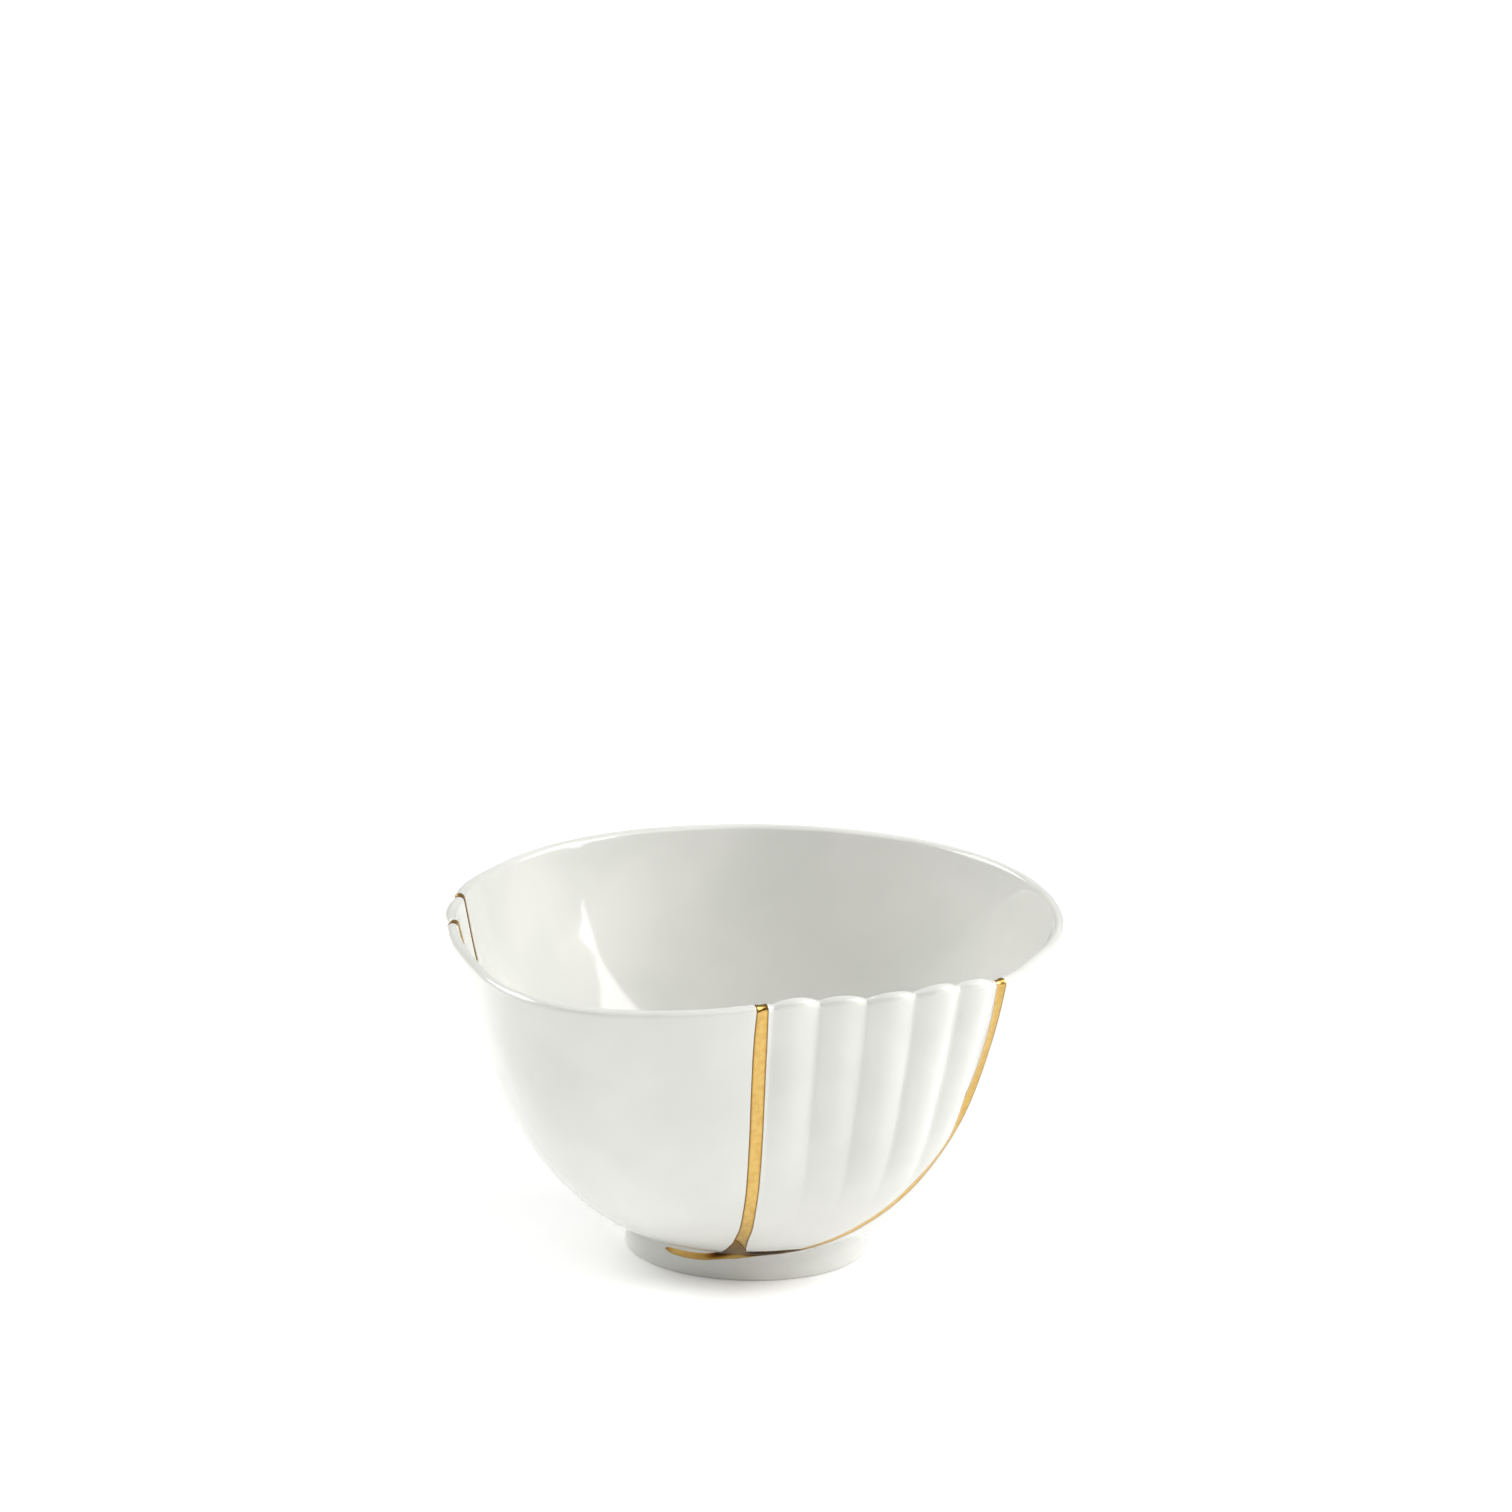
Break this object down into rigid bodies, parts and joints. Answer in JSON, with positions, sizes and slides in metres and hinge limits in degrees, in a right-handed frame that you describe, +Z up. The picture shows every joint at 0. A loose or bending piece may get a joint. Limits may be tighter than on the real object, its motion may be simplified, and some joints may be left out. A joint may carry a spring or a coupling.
{
  "type": "salad bowl",
  "caption": "Footed white porcelain salad bowl with an uneven rim, mended with a fluted shard and a small lobed shard held by gold seams.",
  "frame": {"origin": "middle of the bowl's outline in plan, on the plane that the foot ring stands on", "axes": "+Z up through the open rim, -Y towards the side with the long gold seam, +X towards the fluted shard's side"},
  "size_m": [0.1904, 0.1952, 0.1089],
  "materials": {
    "porcelain": "glossy clear glaze over white porcelain",
    "gold": "polished gold seam"
  },
  "bodies": {
    "root": {"bowl_body": "porcelain", "fluted_shard": "porcelain", "lobed_shard": "porcelain", "gold_seam_front": "gold", "gold_seam_side": "gold"}
  },
  "joints": []
}
